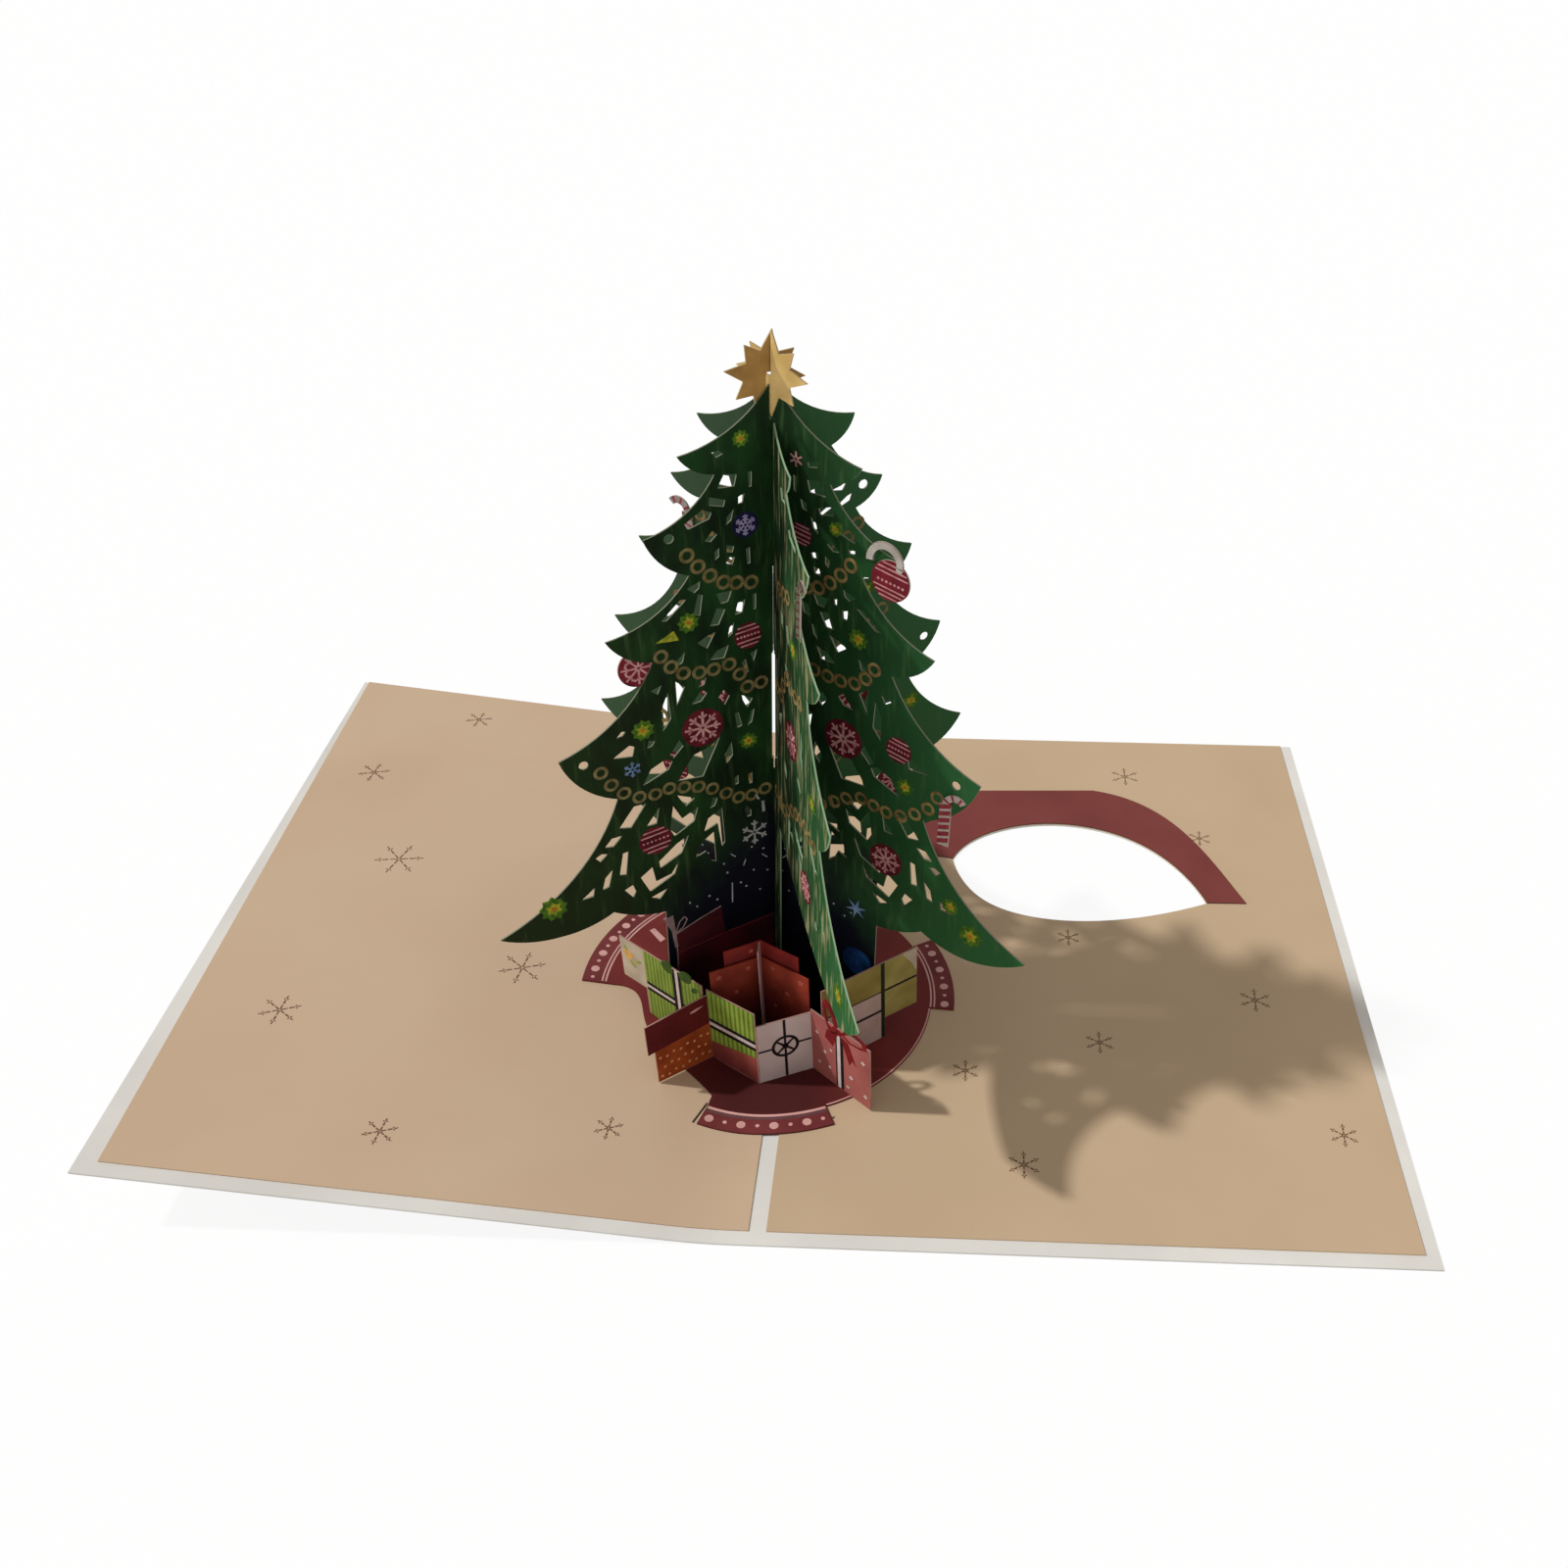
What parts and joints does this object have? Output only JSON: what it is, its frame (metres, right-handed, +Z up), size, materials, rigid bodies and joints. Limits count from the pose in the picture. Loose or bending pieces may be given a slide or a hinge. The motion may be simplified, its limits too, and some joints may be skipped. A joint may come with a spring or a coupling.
{
  "type": "pop-up christmas card",
  "caption": "Open two-page greeting card with a slotted three-sheet card tree, star, gift strips and hanging ornaments on a round skirt sheet, and a lens-shaped window.",
  "frame": {"origin": "on the table, under the middle of the cover's spine", "axes": "+X to the right page, along the open card's width; +Y to the back edge, along the spine; +Z up, out of the pages along the tree"},
  "size_m": [0.299, 0.2, 0.1758],
  "materials": {
    "cover_card": "smooth white card",
    "tan_card": "matte tan sheet with small printed snowflakes",
    "band_card": "matte brick-red sheet",
    "skirt_card": "matte dark burgundy sheet with a printed frill",
    "tree_card": "printed dark green sheet, slightly satin",
    "gold_card": "gold sheet with a soft sheen",
    "gift_red_card": "printed red sheet with pale dots",
    "gift_print_card": "printed sheet, one gift pattern on each panel",
    "gift_left_card": "printed sheet, cream and light green gifts",
    "gift_right_card": "printed sheet, olive and white gifts",
    "bauble_card": "printed dark red sheet with pale patterns",
    "cane_card": "printed white and red sheet"
  },
  "bodies": {
    "root": {"outer_cover": "cover_card", "left_inner_panel": "tan_card", "right_inner_panel": "tan_card", "half_ring_band": "band_card", "skirt_sheet": "skirt_card", "tree_sheet_left": "tree_card", "tree_sheet_right": "tree_card", "tree_sheet_centre": "tree_card", "star_front": "gold_card", "star_side": "gold_card", "gift_box_back": "gift_red_card", "gift_tall_back": "gift_red_card", "gift_divider": "gift_red_card", "gift_front_strip": "gift_print_card", "gift_left_strip": "gift_left_card", "gift_right_strip": "gift_right_card", "bauble_right_front": "bauble_card", "bauble_left_front": "bauble_card", "candy_cane_right": "cane_card", "candy_cane_centre": "cane_card", "candy_cane_left": "cane_card"}
  },
  "joints": []
}
